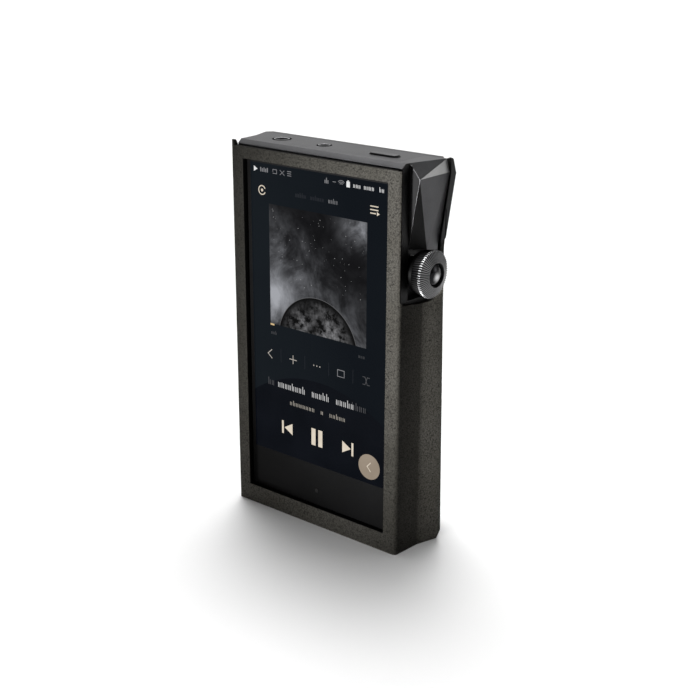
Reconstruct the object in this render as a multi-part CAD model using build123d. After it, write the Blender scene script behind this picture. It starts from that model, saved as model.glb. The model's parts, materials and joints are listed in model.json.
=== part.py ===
"""Digital audio player in a slip-on leather case, as an assembly of separate pieces.

Frame: +X is the user's right, +Y points to the back and +Z is up. The origin is the centre
of the case's base. Depths in this script are measured back from the case's front face, and
every piece is moved forward by half the case's depth when it is written.
"""
from build123d import *
import math
import os

# ---- overall sizes, mm ----
CASE_DEPTH = 35.4
CASE_FRONT_TOP = 139.65
CASE_LEFT_TOP = 137.2
PLAYER_TOP = 141.6
PLAYER_BASE = 1.55
GAP = 0.1
FAR = 200.0

# ---- plan of the player: half widths at four depths, and the slope of its rear top ----
FRONT_Y = 2.3
BEND_Y = 12.0
RIDGE_Y = 20.5
BACK_Y = 33.8
FRONT_HALF = 37.0
BEND_HALF = 37.6
RIDGE_HALF = 40.15
BACK_HALF = 29.0
SLOPE_Y = 22.6
REAR_DROP = 5.0
SEAM = 0.05

# ---- leather case ----
LEATHER = 1.5
FRONT_LEATHER = FRONT_Y - GAP
CASE_FRONT_HALF = 38.2
CASE_BEND_HALF = 39.2
CASE_RIDGE_HALF = RIDGE_HALF + GAP + LEATHER
CASE_FOOT_HALF = 41.9
CASE_BELLY_HALF = 43.5
CASE_BELLY_Z = 4.0
CASE_UPPER_Z = 92.0
CASE_CORNER_R = (0.6, 1.6)
CASE_BACK_R = (3.0, 3.0)
WINDOW_HALF = 32.75
WINDOW_LOW = 7.3
WINDOW_HIGH = 135.4
WINDOW_R = 0.8
CUTOUT_Y = 0.6
CUTOUT_LOW = 93.5
CUTOUT_DIP = 0.9
CUTOUT_REAR_Z = 98.0
EAR_DEPTH = 1.2
SCOOP_R = 7.0
SCOOP_X = 27.0
SCOOP_Y = 18.0

# ---- metal shells ----
WALL = 2.05
CAVITY_HALF = 33.6
CAVITY_RIGHT_UPPER = 31.2
CAVITY_STEP_Z = 92.0
LEDGE_Y = 3.1
CAVITY_Y = 5.9
TOP_BEVEL = (1.7, 1.3)
POCKET_X = 32.8
POCKET_Y = 6.0
POCKET_LOW = 93.8
POCKET_CUT = 0.6
LINER = 0.5
REAR_WALL = 1.6
REAR_CORNER = (28.0, 25.5)

# ---- knob guard: its corners, and the wing of the rear shell behind it ----
GUARD_A = (37.15, POCKET_Y, PLAYER_TOP)
GUARD_B = (41.8, RIDGE_Y, PLAYER_TOP)
GUARD_C = (41.3, POCKET_Y, 136.5)
GUARD_D = (43.0, RIDGE_Y, 137.1)
GUARD_E = (37.15, POCKET_Y, 112.2)
GUARD_F = (38.8, 14.3, 110.9)
GUARD_G = (38.8, RIDGE_Y, 109.7)
GUARD_SCREW_Y = 12.0
GUARD_SCREW_Z = (117.0, 127.0)
GUARD_SCREW_BITE = 2.3
WING_INSET = 1.2
WING_ROOT = 24.0
LEATHER_WING = (0.8, 2.2)
WING_TIP = (GUARD_G[0], 109.9)
WING_KNEE = (41.8, 114.3)
RIDGE_NOTCH_X = 36.5
RIDGE_NOTCH_Y = RIDGE_Y + 5.0

# ---- glass and display ----
GLASS_HALF = 34.8
GLASS_LOW = 4.6
GLASS_HIGH = 138.4
GLASS_R = 1.2
OPENING_HALF = 32.4
OPENING_LOW = 8.0
OPENING_HIGH = 136.0
SENSOR_HALF = 31.8
SENSOR_T = 0.3
DISPLAY_LOW = 20.0
BRACKET_T = 0.8
BRACKET_HOLE_R = 4.0
BRACKET_HOLE_PITCH = (18.0, 24.0)
BRACKET_HOLE_START = (-1.2, 42.0)
CABLE_SLOT_HALF = 8.0
CABLE_SLOT_Z = (21.0, 30.0)

# ---- boards, battery and antenna ----
BOARD_Y = 10.0
BOARD_T = 1.0
BOARD_BACK = BOARD_Y + BOARD_T
BOARD_LEFT = -31.0
MAIN_BOARD_RIGHT = 31.0
MAIN_BOARD_Z = (12.0, 90.0)
AUDIO_BOARD_RIGHT = 23.5
AUDIO_BOARD_Z = (94.0, 122.5)
POST_R = 2.0
DAC_X = (-14.0, -2.0)
DAC_Z = 101.0
AMPLIFIER_X = (-20.0, 6.0)
AMPLIFIER_Z = 112.5
BATTERY_HALF = 27.5
BATTERY_Y = (21.4, 31.4)
BATTERY_Z = (14.0, 92.0)
PAD_X = (-24.0, 12.0)
PAD_WIDTH = 12.0
PAD_Z = (20.0, 86.0)
ANTENNA_X = (-20.0, 18.0)
ANTENNA_Z = (112.0, 128.0)
ANTENNA_T = 0.3
LEAD_X = -14.0
LEAD_WIDTH = 6.0
FLEX_WIDTH = 12.0

# ---- ports in the base ----
USB_Y = 12.6
USB_HOLE = (9.0, 3.2)
USB_SHELL = (8.9, 3.1)
USB_INNER = (8.3, 2.5)
USB_TOP = 9.5
TONGUE_HALF = 3.35
TONGUE_T = 0.7
CARD_X = (-23.8, -12.6)
CARD_Y = (11.6, 12.4)
CARD_TOP = 18.0
PORT_WINDOW = (44.0, 7.0)
PORT_WINDOW_AT = (-9.0, 12.4)

# ---- knob and encoder ----
KNOB_Y = 11.6
KNOB_Z = 103.65
KNOB_R = 8.4
KNOB_WAIST_R = 6.9
KNOB_HUB_R = 5.0
KNOB_START = 34.9
KNOB_WAIST = 37.5
KNOB_BACK = 39.8
KNOB_BACK_R = 7.7
RIM_X = (43.0, 43.7)
CONE_X = 44.0
CONE_R = 7.7
CRATER_X = 45.2
CRATER_R = 4.45
KNOB_SEAT = 43.9
KNOB_TEETH = 60
KNOB_TOOTH = 0.28
CAP_R = 3.9
CAP_EDGE = 0.4
CAP_RISE = 1.2
SHAFT_R = 1.5
SHAFT_END = 42.5
BUSH_R = 3.4
BUSH_END = 34.6
NUT_R = 4.6
NUT_T = 1.4
RING_LIGHT_R = (4.65, 5.05)
ENCODER_X = 24.0
ENCODER_FRONT = 4.7
ENCODER_HALF = 5.4
RUN_CLEAR = 0.05

# ---- sockets in the top: place, bore, nose and trim-ring radii ----
PHONE = {"x": -25.2, "y": 12.7, "bore": 1.8, "nose": 3.0, "ring": 3.6, "mouth": 2.2, "half": 4.0, "low": 125.0}
BALANCED = {"x": -5.3, "y": 12.8, "bore": 1.3, "nose": 2.3, "ring": 2.85, "mouth": 1.7, "half": 3.2, "low": 127.0}
RING_DEPTH = 1.1
RING_PROUD = 0.15

# ---- power button ----
POWER_X, POWER_Y = 22.6, 11.4
POWER_SIZE = (11.8, 3.3)
POWER_PROUD = 0.7
POWER_STEM = (1.2, 3.0)
POWER_SWITCH_HALF = 3.0
POWER_SWITCH_DROP = 7.0
POWER_SWITCH_T = 3.0
POWER_BOARD_Y = (7.4, 15.4)
POWER_BOARD_X = 15.0
SLOT_CLEAR = 0.35

# ---- side buttons, on the slanted left flank ----
SIDE_Y = 15.0
SIDE_PITCH = 14.0
SIDE_MID_Z = 102.0
SIDE_SIZE = (9.0, 3.4)
SIDE_LENGTH = 5.4
SIDE_BOARD = (38.0, 7.0, 0.8)
BUTTON_WINDOW = (44.0, 6.4)

# ---- screws ----
SCREW_R = 0.85
HEAD_R = 1.8
HEAD_T = 1.2
BOSS = 4.8
BOSS_Y = 17.0
BOSS_X = 26.0
UPPER_SCREW_Z = 131.0
SHELL_SCREW_REACH = 14.5
BOARD_SCREW_REACH = 3.0


def box(x, y, z):
    """Box between two limits along each axis."""
    size = [limits[1] - limits[0] for limits in (x, y, z)]
    centre = [(limits[0] + limits[1]) / 2 for limits in (x, y, z)]
    return Pos(*centre) * Box(*size)


def prism(points, low, high):
    """Plan outline raised from one height to another."""
    return Pos(0, 0, low) * extrude(make_face(Polyline(*points, close=True)), high - low)


def polyhedron(points, faces):
    """Closed solid from corner points and lists of their numbers."""
    panels = [Face(Wire.make_polygon([points[i] for i in face])) for face in faces]
    return Solid(Shell(panels))


def along_x(radius, start, end, y=KNOB_Y, z=KNOB_Z):
    """Cylinder that lies along X."""
    return Pos((start + end) / 2, y, z) * Rot(0, 90, 0) * Cylinder(radius, end - start)


def along_y(radius, start, end, x, z):
    """Cylinder that lies along Y."""
    return Pos(x, (start + end) / 2, z) * Rot(90, 0, 0) * Cylinder(radius, end - start)


def along_z(radius, start, end, x, y):
    """Cylinder that stands along Z."""
    return Pos(x, y, (start + end) / 2) * Cylinder(radius, end - start)


def pill(size, low, high):
    """Stadium-shaped block, long along X, between two heights."""
    length, width = size
    return Pos(0, 0, low) * extrude(SlotOverall(length, width), high - low)


def front_plan(offset=0.0, front=FRONT_Y, back=RIDGE_Y):
    """Plan outline of the front half, from its front face to the ridge."""
    side = FRONT_HALF + offset
    bend = BEND_HALF + offset
    ridge = RIDGE_HALF + offset
    return [(-side, front), (side, front), (bend, BEND_Y), (ridge, back), (-ridge, back), (-bend, BEND_Y)]


def rear_half(y):
    """Half width of the rear flanks at a depth."""
    return RIDGE_HALF + (BACK_HALF - RIDGE_HALF) * (y - RIDGE_Y) / (BACK_Y - RIDGE_Y)


def rear_plan(offset=0.0, front=RIDGE_Y, back=BACK_Y):
    """Plan outline of the rear half, between two depths."""
    wide = rear_half(front) + offset
    narrow = rear_half(back) + offset
    return [(-wide, front), (wide, front), (narrow, back), (-narrow, back)]


def bellied(plan, corner_y, corner_radii):
    """Leather body whose ridge swells towards the foot; plan(half) is its outline for a ridge width."""
    levels = [(0.0, CASE_FOOT_HALF), (CASE_BELLY_Z, CASE_BELLY_HALF), (CASE_UPPER_Z, CASE_RIDGE_HALF),
              (PLAYER_TOP, CASE_RIDGE_HALF)]
    sections = []
    for z, half in levels:
        outline = make_face(Polyline(*plan(half), close=True))
        for side, radius in zip((-1, 1), corner_radii):
            corner = [v for v in outline.vertices() if abs(v.Y - corner_y) < GAP and v.X * side > GAP * FAR]
            outline = fillet(corner, radius)
        sections.append(Pos(0, 0, z) * outline)
    body = Part()
    for low, high in zip(sections, sections[1:]):
        body += loft([low, high], ruled=True)
    return body


def flank_plane(z):
    """Plane on the slanted left flank: local X is up, local Z points out of the flank."""
    run = RIDGE_Y - BEND_Y
    rise = RIDGE_HALF - BEND_HALF
    x = -BEND_HALF - rise * (SIDE_Y - BEND_Y) / run
    return Plane(origin=(x, SIDE_Y, z), x_dir=(0, 0, 1), z_dir=(-run, -rise, 0))


def under_slope(solid, drop=0.0):
    """Solid trimmed under the top face and the slope that falls from it to the back face."""
    top = PLAYER_TOP - drop
    end = top - REAR_DROP * (FAR - SLOPE_Y) / (BACK_Y - SLOPE_Y)
    outline = [(0, top), (SLOPE_Y, top), (FAR, end), (FAR, FAR), (0, FAR)]
    wedge = extrude(Plane.YZ * make_face(Polyline(*outline, close=True)), FAR / 2, both=True)
    return solid - wedge


def wing(outset, top_half, tip=None, knee=None, raised=False):
    """Wedge behind the guard: its outline at the ridge, tapering to the back face's edge."""
    widest = GUARD_D[0] + outset
    upper = widest if raised else GUARD_B[0] + outset
    tip_x, low = tip or (GUARD_G[0] + outset, GUARD_G[2] - 0.3)
    knee_z = (low + GUARD_D[2]) / 2
    knee_x, knee_z = knee or ((widest + tip_x) / 2, knee_z)
    front = RIDGE_Y + SEAM
    back = BACK_Y - 0.5
    edge = top_half - 0.4
    points = [
        (WING_ROOT, front, PLAYER_TOP),
        (upper, front, PLAYER_TOP),
        (widest, front, GUARD_D[2]),
        (knee_x, front, knee_z),
        (tip_x, front, low),
        (WING_ROOT, front, low),
        (edge, back, PLAYER_TOP),
        (edge, back, low),
        (WING_ROOT, back, PLAYER_TOP),
        (WING_ROOT, back, low),
    ]
    faces = [
        (0, 1, 2, 3, 4, 5),
        (0, 8, 6, 1),
        (1, 6, 2),
        (2, 6, 7),
        (2, 7, 3),
        (3, 7, 4),
        (4, 7, 9, 5),
        (0, 5, 9, 8),
        (6, 8, 9, 7),
    ]
    return polyhedron(points, faces)


def ridge_cut(outline):
    """Block across the right-hand ridge, from its outline in X and Z."""
    return extrude(Plane.XZ * make_face(Polyline(*outline, close=True)), -RIDGE_NOTCH_Y)


# ================= leather case =================

def case_cutout():
    """Space for the guard and the knob, cut out of the right-hand wall."""
    dip = CUTOUT_LOW - CUTOUT_DIP
    corner = CUTOUT_Y + 1.6
    rear = RIDGE_Y + POCKET_CUT
    with BuildSketch(Plane.YZ) as sketch:
        with BuildLine():
            Polyline((CUTOUT_Y, FAR), (CUTOUT_Y, CUTOUT_LOW + 1.6), (corner, CUTOUT_LOW))
            Spline((corner, CUTOUT_LOW), (BEND_Y, dip), (SCOOP_Y, dip + 1.0), (rear, CUTOUT_REAR_Z))
            Polyline((rear, CUTOUT_REAR_Z), (rear, FAR), (CUTOUT_Y, FAR))
        make_face()
    return Pos(FRONT_HALF - 1.0, 0, 0) * extrude(sketch.sketch, 20)


def wrap_plan(ridge):
    """Outer outline of the front of the case, for a half width at the ridge."""
    side, bend, back = CASE_FRONT_HALF, CASE_BEND_HALF, RIDGE_Y + GAP
    return [(-side, 0), (side, 0), (bend, BEND_Y), (ridge, back), (-ridge, back), (-bend, BEND_Y)]


def back_plan(ridge):
    """Outer outline of the back of the case, for a half width at the ridge."""
    front = RIDGE_Y + GAP + SEAM
    narrow = BACK_HALF + GAP + LEATHER
    return [(-ridge, front), (ridge, front), (narrow, CASE_DEPTH), (-narrow, CASE_DEPTH)]


def case_front_wrap():
    """Front panel with its display window, folded round to the ridge on both sides."""
    outer = bellied(wrap_plan, 0, CASE_CORNER_R)
    inner = prism(front_plan(GAP, FRONT_LEATHER, RIDGE_Y + GAP), -1, FAR)
    window = Pos(0, 0, (WINDOW_LOW + WINDOW_HIGH) / 2) * Box(
        2 * WINDOW_HALF, 10, WINDOW_HIGH - WINDOW_LOW)
    window = fillet(window.edges().filter_by(Axis.Y), WINDOW_R)
    trim = box((-FRONT_HALF, FAR), (-1, FAR), (CASE_FRONT_TOP, FAR))
    left_end = extrude(Plane.YZ * make_face(Polyline(
        (EAR_DEPTH, FAR), (EAR_DEPTH, PLAYER_TOP), (FRONT_Y, CASE_FRONT_TOP), (FRONT_Y + 1.2, CASE_LEFT_TOP),
        (FAR, CASE_LEFT_TOP), (FAR, FAR), close=True)), -FAR)
    button_slot = flank_plane(SIDE_MID_Z) * pill(BUTTON_WINDOW, -1, 8)
    return outer - inner - window - trim - left_end - case_cutout() - button_slot


def case_back_panel():
    """Rear half of the case, with the wing that backs the guard and a scoop at the knob."""
    outer = bellied(back_plan, CASE_DEPTH, CASE_BACK_R)
    near, far = LEATHER_WING
    outer_wing = Pos(0, POCKET_CUT, 0) * wing(far, BACK_HALF + 1.0, WING_TIP, WING_KNEE)
    inner_wing = wing(near, BACK_HALF + 0.3, raised=True)
    inner = prism(rear_plan(GAP, RIDGE_Y, BACK_Y + GAP), -1, FAR)
    scoop = along_x(SCOOP_R, SCOOP_X, FAR, SCOOP_Y, KNOB_Z)
    lean = (WING_KNEE[1] - WING_TIP[1]) / (WING_KNEE[0] - WING_TIP[0])
    beyond = (FAR, WING_TIP[1] + lean * (FAR - WING_TIP[0]))
    notch = ridge_cut([WING_TIP, beyond, (FAR, CUTOUT_REAR_Z), (WING_TIP[0], CUTOUT_REAR_Z)])
    body = under_slope(outer, PLAYER_TOP - CASE_LEFT_TOP) + under_slope(outer_wing)
    return body - inner - inner_wing - scoop - notch


def case_bottom_panel():
    """Base of the case, inside its walls, with one window for the ports."""
    front = prism(front_plan(GAP, FRONT_LEATHER, RIDGE_Y + GAP), 0, LEATHER)
    rear = prism(rear_plan(GAP, RIDGE_Y + GAP, BACK_Y + GAP), 0, LEATHER)
    window = Pos(*PORT_WINDOW_AT, 0) * pill(PORT_WINDOW, -1, 4)
    return front + rear - window


# ================= metal shells =================

def cleared(size):
    """Length and width of the hole for a stadium-shaped key."""
    return size[0] + 2 * SLOT_CLEAR, size[1] + 2 * SLOT_CLEAR


def screw_blocks(front, back):
    """Blocks that the shell screws go into, at the foot and near the top of both shells."""
    foot = PLAYER_BASE + WALL
    blocks = []
    for x, _ in shell_screw_places():
        across = (x - BOSS / 2, x + BOSS / 2)
        blocks.append(box(across, (front, back), (foot - 0.5, foot + BOSS)))
        blocks.append(box(across, (front, back), (UPPER_SCREW_Z - BOSS / 2, PLAYER_TOP - WALL + 0.5)))
    return blocks


def shell_screw_places():
    """X and Z of the four screws that join the shells."""
    foot = PLAYER_BASE + WALL + BOSS / 2
    return [(x, z) for x in (-BOSS_X, BOSS_X) for z in (foot, UPPER_SCREW_Z)]


def front_frame():
    """Main metal frame: the four walls, the lip for the glass and the knob pocket."""
    shell = prism(front_plan(), PLAYER_BASE, PLAYER_TOP)
    deep, tall = TOP_BEVEL
    bevel = make_face(Polyline((FRONT_Y - 1, PLAYER_TOP - tall), (FRONT_Y, PLAYER_TOP - tall),
                               (FRONT_Y + deep, PLAYER_TOP), (FRONT_Y + deep, PLAYER_TOP + 1),
                               (FRONT_Y - 1, PLAYER_TOP + 1), close=True))
    shell -= extrude(Plane.YZ * bevel, FAR, both=True)
    cavity_z = (PLAYER_BASE + WALL, CAVITY_STEP_Z)
    upper_z = (CAVITY_STEP_Z - 1, PLAYER_TOP - WALL)
    depth = (CAVITY_Y, RIDGE_Y + 1)
    shell -= box((-CAVITY_HALF, CAVITY_HALF), depth, cavity_z)
    shell -= box((-CAVITY_HALF, CAVITY_RIGHT_UPPER), depth, upper_z)
    shell -= box((-GLASS_HALF - SEAM, GLASS_HALF + SEAM), (0, LEDGE_Y),
                 (GLASS_LOW - SEAM, GLASS_HIGH + SEAM))
    shell -= box((-OPENING_HALF, OPENING_HALF - 1.4), (0, CAVITY_Y + 1), (OPENING_LOW, OPENING_HIGH))
    shell -= box((-OPENING_HALF, OPENING_HALF), (0, CAVITY_Y), (OPENING_LOW, OPENING_HIGH))
    shell -= box((POCKET_X, FAR), (POCKET_Y, FAR), (POCKET_LOW, FAR))
    for block in screw_blocks(BOSS_Y, RIDGE_Y):
        shell += block
    for x, z in shell_screw_places():
        shell -= along_y(SCREW_R + RUN_CLEAR, BOSS_Y - 1, RIDGE_Y + 1, x, z)
    above = (PLAYER_TOP - WALL - 1, FAR)
    for socket in (PHONE, BALANCED):
        shell -= along_z(socket["nose"] + RUN_CLEAR, *above, socket["x"], socket["y"])
        shell -= along_z(socket["ring"], PLAYER_TOP - RING_DEPTH, FAR, socket["x"], socket["y"])
    shell -= Pos(POWER_X, POWER_Y, 0) * pill(cleared(POWER_SIZE), *above)
    for step in (-1, 0, 1):
        shell -= flank_plane(SIDE_MID_Z + step * SIDE_PITCH) * pill(cleared(SIDE_SIZE), -8, 2)
    below = (0, PLAYER_BASE + WALL + 1)
    shell -= Pos(0, USB_Y, 0) * pill(USB_HOLE, *below)
    shell -= box((CARD_X[0] - 0.2, CARD_X[1] + 0.2), (CARD_Y[0] - 0.1, CARD_Y[1] + 0.1), below)
    shell -= along_x(BUSH_R + GAP, CAVITY_RIGHT_UPPER - 1, POCKET_X + 1)
    for z in GUARD_SCREW_Z:
        shell -= along_x(SCREW_R + RUN_CLEAR, CAVITY_RIGHT_UPPER - 1, POCKET_X + 1, GUARD_SCREW_Y, z)
    return shell


def rear_shell():
    """Metal tub that closes the back, with the wing that backs the guard."""
    front = RIDGE_Y + SEAM
    inner_back = BACK_Y - REAR_WALL
    body = prism(rear_plan(0, front, BACK_Y), PLAYER_BASE, PLAYER_TOP)
    body += wing(-WING_INSET, BACK_HALF)
    body -= box((POCKET_X, FAR), (0, RIDGE_Y + POCKET_CUT), (POCKET_LOW, GUARD_G[2]))
    body -= along_x(SCOOP_R, RIDGE_NOTCH_X, FAR, SCOOP_Y, KNOB_Z)
    foot = (GUARD_G[0] - WING_INSET, GUARD_G[2])
    head = (GUARD_D[0] - WING_INSET, GUARD_D[2])
    body -= ridge_cut([foot, head, (FAR, head[1]), (FAR, CUTOUT_REAR_Z), (foot[0], CUTOUT_REAR_Z)])
    body = under_slope(body)
    inner_half = BACK_HALF - 1.0
    inner = [(-CAVITY_HALF, RIDGE_Y - 1), (CAVITY_RIGHT_UPPER, RIDGE_Y - 1),
             (CAVITY_RIGHT_UPPER, REAR_CORNER[0]), (inner_half, inner_back),
             (-inner_half, inner_back), (-CAVITY_HALF, REAR_CORNER[1])]
    cavity = under_slope(prism(inner, PLAYER_BASE + WALL, PLAYER_TOP - WALL), WALL)
    shell = body - cavity
    for block in screw_blocks(front, inner_back + 0.2):
        shell += block & body
    for x, z in shell_screw_places():
        shell -= along_y(SCREW_R + 0.1, RIDGE_Y - 1, BACK_Y + 1, x, z)
        shell -= along_y(HEAD_R + 0.1, BACK_Y - HEAD_T - 0.2, BACK_Y + 1, x, z)
    return shell


def knob_guard():
    """Faceted block that stands over the knob."""
    inner = POCKET_X
    points = [
        GUARD_A, GUARD_B, GUARD_C, GUARD_D, GUARD_E, GUARD_F, GUARD_G,
        (inner, POCKET_Y, PLAYER_TOP),
        (inner, RIDGE_Y, PLAYER_TOP),
        (inner, POCKET_Y, GUARD_E[2]),
        (inner, RIDGE_Y, GUARD_G[2]),
    ]
    faces = [
        (7, 0, 1, 8),
        (7, 9, 4, 2, 0),
        (0, 2, 1),
        (1, 2, 3),
        (2, 5, 3),
        (3, 5, 6),
        (2, 4, 5),
        (9, 10, 6),
        (9, 6, 5),
        (9, 5, 4),
        (1, 3, 6, 10, 8),
        (7, 8, 10, 9),
    ]
    guard = polyhedron(points, faces)
    for z in GUARD_SCREW_Z:
        guard -= along_x(SCREW_R + RUN_CLEAR, POCKET_X - 1, POCKET_X + GUARD_SCREW_BITE + 0.2, GUARD_SCREW_Y, z)
    return guard


def pocket_liner():
    """Black moulding that lines the front, the floor and the inner wall of the knob's pocket."""
    under = GUARD_E[2] - 0.2
    rear = RIDGE_Y - SEAM
    inner = [(POCKET_Y, POCKET_LOW), (rear, POCKET_LOW), (rear, GUARD_G[2] - 0.2), (POCKET_Y, under)]
    wall = Pos(POCKET_X, 0, 0) * extrude(Plane.YZ * make_face(Polyline(*inner, close=True)), LINER)
    floor = prism(front_plan(-SEAM), POCKET_LOW, POCKET_LOW + LINER)
    floor &= box((POCKET_X, FAR), (POCKET_Y, rear), (0, FAR))
    front = box((POCKET_X, FRONT_HALF - LINER), (POCKET_Y, POCKET_Y + LINER), (POCKET_LOW, under - LINER))
    return wall + floor + front - along_x(BUSH_R + GAP, POCKET_X - 1, POCKET_X + 1)


# ================= display =================

def cover_glass():
    glass = box((-GLASS_HALF, GLASS_HALF), (FRONT_Y, LEDGE_Y), (GLASS_LOW, GLASS_HIGH))
    return fillet(glass.edges().filter_by(Axis.Y), GLASS_R)


def touch_sensor():
    across = (-SENSOR_HALF, SENSOR_HALF)
    return box(across, (LEDGE_Y, LEDGE_Y + SENSOR_T), (OPENING_LOW + 0.3, OPENING_HIGH - 0.3))


def display_panel():
    across = (-SENSOR_HALF, SENSOR_HALF)
    return box(across, (LEDGE_Y + SENSOR_T, CAVITY_Y), (DISPLAY_LOW, OPENING_HIGH - 0.3))


def display_bracket():
    """Stamped plate behind the display, with posts for the main board."""
    low = PLAYER_BASE + WALL + GAP
    high = PLAYER_TOP - WALL - GAP
    back = CAVITY_Y + BRACKET_T
    plate = box((-CAVITY_HALF + GAP, CAVITY_RIGHT_UPPER - GAP), (CAVITY_Y, back), (low, high))
    plate -= box((-CABLE_SLOT_HALF, CABLE_SLOT_HALF), (0, RIDGE_Y), CABLE_SLOT_Z)
    for row in range(4):
        for column in (-1, 0, 1):
            x = BRACKET_HOLE_START[0] + column * BRACKET_HOLE_PITCH[0]
            z = BRACKET_HOLE_START[1] + row * BRACKET_HOLE_PITCH[1]
            plate -= along_y(BRACKET_HOLE_R, 0, RIDGE_Y, x, z)
    for x, z in board_screw_places():
        plate += along_y(POST_R, back - 0.1, BOARD_Y, x, z)
        plate -= along_y(SCREW_R + RUN_CLEAR, back + 0.2, BOARD_Y + 1, x, z)
    return plate


# ================= boards and what is on them =================

def board_screw_places():
    """X and Z of the screws that hold the two boards."""
    main = [(x, z) for x in (-28.0, 28.0) for z in (MAIN_BOARD_Z[0] + 3, MAIN_BOARD_Z[1] - 3)]
    audio = [(-12.0, AUDIO_BOARD_Z[1] - 3), (20.0, AUDIO_BOARD_Z[0] + 3)]
    return main + audio


def board(x, z):
    plate = box(x, (BOARD_Y, BOARD_BACK), z)
    for sx, sz in board_screw_places():
        if x[0] < sx < x[1] and z[0] < sz < z[1]:
            plate -= along_y(SCREW_R + RUN_CLEAR, 0, RIDGE_Y, sx, sz)
    return plate


def chip(x, z, height, width, length):
    """Component on the back of a board."""
    half = width / 2
    return box((x - half, x + half), (BOARD_BACK, BOARD_BACK + height), (z - length / 2, z + length / 2))


def screw_y(x, z, head_y, reach):
    """Screw with its head towards the back."""
    return along_y(HEAD_R, head_y, head_y + HEAD_T, x, z) + along_y(SCREW_R, head_y - reach, head_y, x, z)


def ribbon(points, width, thickness=0.25):
    """Flat cable: a bent strip that follows depth and height points, centred on X = 0."""
    run = trace(Polyline(*points), thickness)
    strip = extrude(Plane.YZ * run, width)
    return Pos(-width / 2, 0, 0) * strip


def jack(socket):
    """Socket body with a round nose and a blind bore that opens upwards."""
    x, y, half = socket["x"], socket["y"], socket["half"]
    shoulder = PLAYER_TOP - WALL - GAP
    nose_top = PLAYER_TOP - RING_DEPTH
    body = box((x - half, x + half), (BOARD_Y - 0.8, y + half - 0.2), (AUDIO_BOARD_Z[1], shoulder))
    body += along_z(socket["nose"], shoulder - 0.1, nose_top, x, y)
    return body - along_z(socket["bore"], socket["low"], nose_top + 1, x, y)


def jack_ring(socket):
    """Turned trim ring, set in the top face, with a bevelled mouth."""
    low = PLAYER_TOP - RING_DEPTH
    place = (socket["x"], socket["y"])
    ring = along_z(socket["ring"] - RUN_CLEAR, low, PLAYER_TOP + RING_PROUD, *place)
    ring -= along_z(socket["mouth"], low - 1, FAR, *place)
    mouth = ring.edges().filter_by(GeomType.CIRCLE).group_by(Axis.Z)[-1]
    return chamfer(mouth, 0.25)


def usb_port():
    """Drawn steel shell of the USB-C socket, closed at its inner end."""
    shell = Pos(0, USB_Y, 0) * pill(USB_SHELL, PLAYER_BASE + GAP, USB_TOP)
    return shell - Pos(0, USB_Y, 0) * pill(USB_INNER, 0, USB_TOP - 0.6)


def usb_tongue():
    """Contact tongue in the middle of the USB-C socket."""
    depth = (USB_Y - TONGUE_T / 2, USB_Y + TONGUE_T / 2)
    return box((-TONGUE_HALF, TONGUE_HALF), depth, (PLAYER_BASE + LEATHER, USB_TOP - 0.6))


def card_slot():
    """Cage of the memory card slot, open at the base."""
    across = (CARD_X[0] - 1.4, CARD_X[1] + 1.4)
    cage = box(across, (BOARD_BACK, BOARD_BACK + 1.9), (PLAYER_BASE + WALL, CARD_TOP + 1.0))
    return cage - box(CARD_X, CARD_Y, (0, CARD_TOP))


# ================= knob and its encoder =================

def encoder_body():
    """Housing of the rotary encoder, against the inner side of the frame."""
    across = (ENCODER_X, CAVITY_RIGHT_UPPER)
    depth = (KNOB_Y - ENCODER_FRONT, KNOB_Y + ENCODER_HALF)
    body = box(across, depth, (KNOB_Z - ENCODER_HALF, KNOB_Z + ENCODER_HALF))
    return body - along_x(SHAFT_R + RUN_CLEAR, ENCODER_X + 0.8, FAR)


def encoder_bush():
    """Bush that the shaft turns in, through the frame's wall."""
    bush = along_x(BUSH_R, CAVITY_RIGHT_UPPER, BUSH_END)
    return bush - along_x(SHAFT_R + RUN_CLEAR, CAVITY_RIGHT_UPPER - 1, FAR)


def encoder_nut():
    """Hexagonal nut that clamps the encoder from inside the pocket."""
    hexagon = extrude(RegularPolygon(NUT_R, 6), NUT_T)
    nut = Pos(POCKET_X + LINER, KNOB_Y, KNOB_Z) * Rot(0, 90, 0) * hexagon
    return nut - along_x(BUSH_R, POCKET_X, FAR)


def light_ring():
    """Smoked ring on the pocket's inner wall that glows round the knob."""
    inner, outer = RING_LIGHT_R
    low = POCKET_X + LINER
    return along_x(outer, low, low + 0.5) - along_x(inner, low - 1, FAR)


def volume_knob():
    """Crown: waist, ribbed rear cone, toothed rim, front cone and a crater for the cap."""
    with BuildSketch(Plane.XY) as profile:
        with BuildLine():
            Polyline((KNOB_START, 0), (KNOB_START, KNOB_HUB_R), (KNOB_WAIST, KNOB_HUB_R),
                     (KNOB_WAIST, KNOB_WAIST_R), (KNOB_BACK, KNOB_WAIST_R), (KNOB_BACK, KNOB_BACK_R),
                     (RIM_X[0], KNOB_R), (RIM_X[1], KNOB_R), (CONE_X, CONE_R), (CRATER_X, CRATER_R),
                     (CRATER_X, CRATER_R - 0.15), (KNOB_SEAT, CRATER_R - 0.35), (KNOB_SEAT, 0),
                     (KNOB_START, 0))
        make_face()
    crown = Pos(0, KNOB_Y, KNOB_Z) * revolve(profile.sketch, Axis.X)
    step = 2 * math.pi / KNOB_TEETH
    outline = []
    for tooth in range(KNOB_TEETH):
        for turn, radius in ((0.0, KNOB_R + 0.05), (0.5, KNOB_R - KNOB_TOOTH)):
            angle = (tooth + turn) * step
            outline.append((radius * math.cos(angle), radius * math.sin(angle)))
    star = extrude(make_face(Polyline(*outline, close=True)), CRATER_X - KNOB_START + 2)
    crown = crown & (Pos(KNOB_START - 1, KNOB_Y, KNOB_Z) * Rot(0, 90, 0) * star)
    return crown - along_x(SHAFT_R, KNOB_START - 1, SHAFT_END)


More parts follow.
